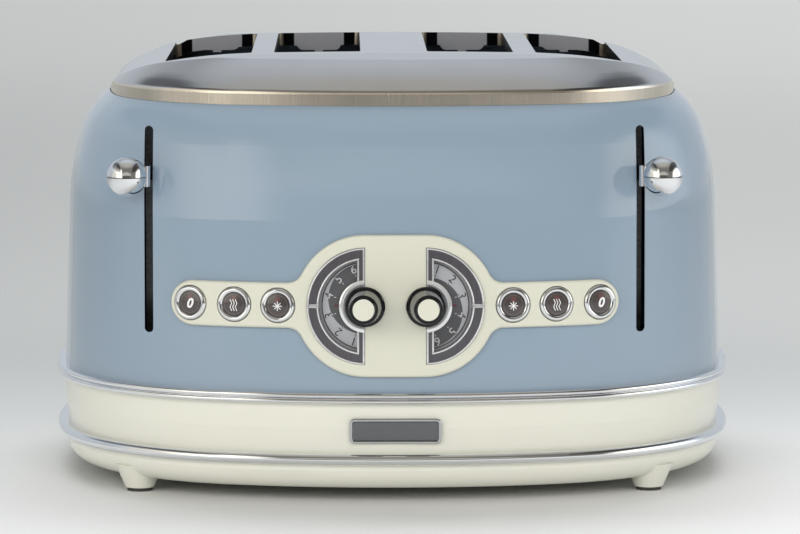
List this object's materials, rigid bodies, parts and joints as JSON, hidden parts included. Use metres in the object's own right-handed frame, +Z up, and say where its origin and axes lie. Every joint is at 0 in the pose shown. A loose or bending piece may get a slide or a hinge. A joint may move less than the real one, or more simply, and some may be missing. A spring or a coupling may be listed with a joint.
{
  "type": "toaster",
  "caption": "Retro toaster with an enamelled steel body, cream base, chrome rings, long bread slots, side levers, half-moon browning dials and push buttons.",
  "frame": {"origin": "bottom centre of the whole toaster's box, on the surface that it stands on", "axes": "+Z up, -Y out of the front with the dials, +X to the right seen from the front"},
  "size_m": [0.3096, 0.3082, 0.1936],
  "materials": {
    "shell_paint": "glossy pastel grey-blue enamel",
    "cream_plastic": "glossy moulded cream",
    "panel_cream": "satin moulded cream",
    "brushed_stainless": "fine vertical brush lines",
    "chrome": "mirror",
    "bezel_steel": "dark brushed with bright edges",
    "scale_grey": "satin dark grey",
    "knob_black_chrome": "dark chrome",
    "lens_brown": "glossy dark brown",
    "rubber": "matte",
    "zinc_steel": "zinc-coated sheet",
    "guide_wire": "drawn wire",
    "spring_steel": "drawn spring wire",
    "mica": "pressed mica sheet",
    "heater_alloy": "dull rolled ribbon",
    "board_green": "lacquered circuit board",
    "black_plastic": "matte",
    "magnet_iron": "bare laminated iron"
  },
  "bodies": {
    "root": {"base_tray": "cream_plastic", "feet": "cream_plastic", "skirt_band": "cream_plastic", "control_panel": "panel_cream", "foot_pads": "rubber", "cable_gland": "rubber", "base_screws": "zinc_steel", "chassis_floor": "zinc_steel", "front_end_plate": "zinc_steel", "rear_end_plate": "zinc_steel", "heat_shields": "zinc_steel", "guide_rods": "zinc_steel", "lower_chrome_ring": "chrome", "upper_chrome_ring": "chrome", "outer_shell": "shell_paint", "top_plate": "brushed_stainless", "control_board": "board_green", "timer_controls": "black_plastic", "terminal_block": "black_plastic", "electromagnets": "magnet_iron", "mica_cards_left": "mica", "heating_ribbons_left": "heater_alloy", "dial_bezel_left": "bezel_steel", "dial_face_left": "scale_grey", "mica_cards_right": "mica", "heating_ribbons_right": "heater_alloy", "dial_bezel_right": "bezel_steel", "dial_face_right": "scale_grey"},
    "lever_left": {"bread_carriage_left": "guide_wire", "lever_arm_left": "chrome", "lever_ball_left": "chrome", "lift_spring_left": "spring_steel"},
    "near_guides_left": {"near_bread_guides_left": "guide_wire"},
    "far_guides_left": {"far_bread_guides_left": "guide_wire"},
    "knob_left": {"browning_knob_left": "knob_black_chrome", "knob_cap_left": "panel_cream"},
    "tray_left": {"crumb_tray_left": "zinc_steel", "crumb_tray_door_left": "cream_plastic"},
    "defrost_left": {"defrost_button_left": "chrome", "defrost_lens_left": "lens_brown"},
    "reheat_left": {"reheat_button_left": "chrome", "reheat_lens_left": "lens_brown"},
    "cancel_left": {"cancel_button_left": "chrome", "cancel_lens_left": "lens_brown"},
    "lever_right": {"bread_carriage_right": "guide_wire", "lever_arm_right": "chrome", "lever_ball_right": "chrome", "lift_spring_right": "spring_steel"},
    "near_guides_right": {"near_bread_guides_right": "guide_wire"},
    "far_guides_right": {"far_bread_guides_right": "guide_wire"},
    "knob_right": {"browning_knob_right": "knob_black_chrome", "knob_cap_right": "panel_cream"},
    "tray_right": {"crumb_tray_right": "zinc_steel", "crumb_tray_door_right": "cream_plastic"},
    "defrost_right": {"defrost_button_right": "chrome", "defrost_lens_right": "lens_brown"},
    "reheat_right": {"reheat_button_right": "chrome", "reheat_lens_right": "lens_brown"},
    "cancel_right": {"cancel_button_right": "chrome", "cancel_lens_right": "lens_brown"}
  },
  "joints": [
    {"name": "lever_slide_left", "type": "slide", "parent": "root", "child": "lever_left", "axis": [0, 0, 1], "range_m": [-0.06, 0.014], "stiffness_N_per_m": 120, "springref_m": 0.0204, "deforming": ["lift_spring_left"]},
    {"name": "near_guides_slide_left", "type": "slide", "parent": "root", "child": "near_guides_left", "axis": [-1, 0, 0], "range_m": [-0.00168, 0.0072]},
    {"name": "far_guides_slide_left", "type": "slide", "parent": "root", "child": "far_guides_left", "axis": [1, 0, 0], "range_m": [-0.00168, 0.0072]},
    {"name": "knob_turn_left", "type": "hinge", "parent": "root", "child": "knob_left", "pos_m": [-0.013, -0.13251, 0.0875], "axis": [-0.0477, -0.9983, 0.0323], "range_deg": [-75, 75]},
    {"name": "defrost_press_left", "type": "slide", "parent": "root", "child": "defrost_left", "axis": [0.186, 0.982, -0.0323], "range_m": [0, 0.003], "stiffness_N_per_m": 300, "springref_m": -0.001},
    {"name": "reheat_press_left", "type": "slide", "parent": "root", "child": "reheat_left", "axis": [0.2553, 0.9663, -0.0323], "range_m": [0, 0.003], "stiffness_N_per_m": 300, "springref_m": -0.001},
    {"name": "cancel_press_left", "type": "slide", "parent": "root", "child": "cancel_left", "axis": [0.4112, 0.911, -0.0323], "range_m": [0, 0.003], "stiffness_N_per_m": 300, "springref_m": -0.001},
    {"name": "tray_slide_left", "type": "slide", "parent": "root", "child": "tray_left", "axis": [0, 1, 0], "range_m": [0, 0.15]},
    {"name": "lever_slide_right", "type": "slide", "parent": "root", "child": "lever_right", "axis": [0, 0, 1], "range_m": [-0.06, 0.014], "stiffness_N_per_m": 120, "springref_m": 0.0204, "deforming": ["lift_spring_right"]},
    {"name": "near_guides_slide_right", "type": "slide", "parent": "root", "child": "near_guides_right", "axis": [1, 0, 0], "range_m": [-0.00168, 0.0072]},
    {"name": "far_guides_slide_right", "type": "slide", "parent": "root", "child": "far_guides_right", "axis": [-1, 0, 0], "range_m": [-0.00168, 0.0072]},
    {"name": "knob_turn_right", "type": "hinge", "parent": "root", "child": "knob_right", "pos_m": [0.013, -0.13251, 0.0875], "axis": [0.0477, -0.9983, 0.0323], "range_deg": [-75, 75]},
    {"name": "defrost_press_right", "type": "slide", "parent": "root", "child": "defrost_right", "axis": [-0.186, 0.982, -0.0323], "range_m": [0, 0.003], "stiffness_N_per_m": 300, "springref_m": -0.001},
    {"name": "reheat_press_right", "type": "slide", "parent": "root", "child": "reheat_right", "axis": [-0.2553, 0.9663, -0.0323], "range_m": [0, 0.003], "stiffness_N_per_m": 300, "springref_m": -0.001},
    {"name": "cancel_press_right", "type": "slide", "parent": "root", "child": "cancel_right", "axis": [-0.4112, 0.911, -0.0323], "range_m": [0, 0.003], "stiffness_N_per_m": 300, "springref_m": -0.001},
    {"name": "tray_slide_right", "type": "slide", "parent": "root", "child": "tray_right", "axis": [0, 1, 0], "range_m": [0, 0.15]}
  ],
  "couplings": [
    {"joint": "near_guides_slide_left", "follows": "lever_slide_left", "ratio": -0.12},
    {"joint": "far_guides_slide_left", "follows": "lever_slide_left", "ratio": -0.12},
    {"joint": "near_guides_slide_right", "follows": "lever_slide_right", "ratio": -0.12},
    {"joint": "far_guides_slide_right", "follows": "lever_slide_right", "ratio": -0.12}
  ]
}
